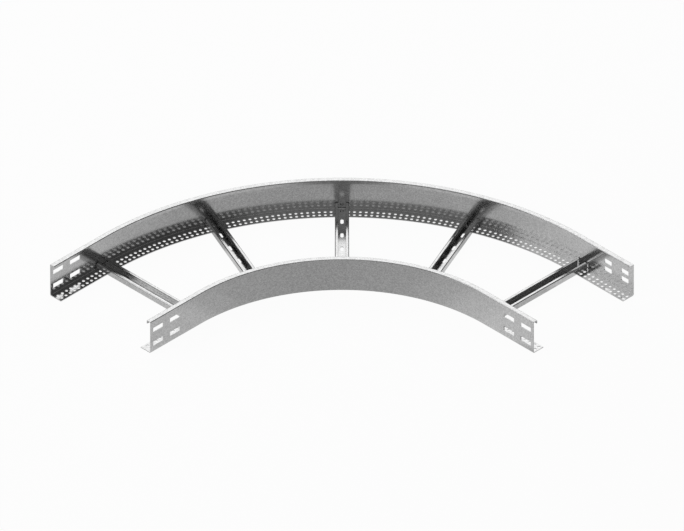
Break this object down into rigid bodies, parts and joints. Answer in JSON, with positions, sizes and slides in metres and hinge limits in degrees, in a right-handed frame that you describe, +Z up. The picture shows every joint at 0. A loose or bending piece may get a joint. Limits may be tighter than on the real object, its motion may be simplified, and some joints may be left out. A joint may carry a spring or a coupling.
{
  "type": "cable ladder bend",
  "caption": "Flat ninety degree cable ladder bend: two folded side rails with perforated flanges, joined by slotted channel rungs, with joint slots at both ends.",
  "frame": {"origin": "on the floor plane, under the middle of the whole bend's outline", "axes": "+Z up out of the open side of the tray; one end runs out along -X and faces -X, the other runs out along -Y and faces -Y, so the bend's centre lies towards -X and -Y"},
  "size_m": [0.87, 0.87, 0.08],
  "materials": {
    "galvanised_steel": "satin zinc coating"
  },
  "bodies": {
    "root": {"inner_side_rail": "galvanised_steel", "outer_side_rail": "galvanised_steel", "rung_1": "galvanised_steel", "rung_2": "galvanised_steel", "rung_3": "galvanised_steel", "rung_4": "galvanised_steel", "rung_5": "galvanised_steel"}
  },
  "joints": []
}
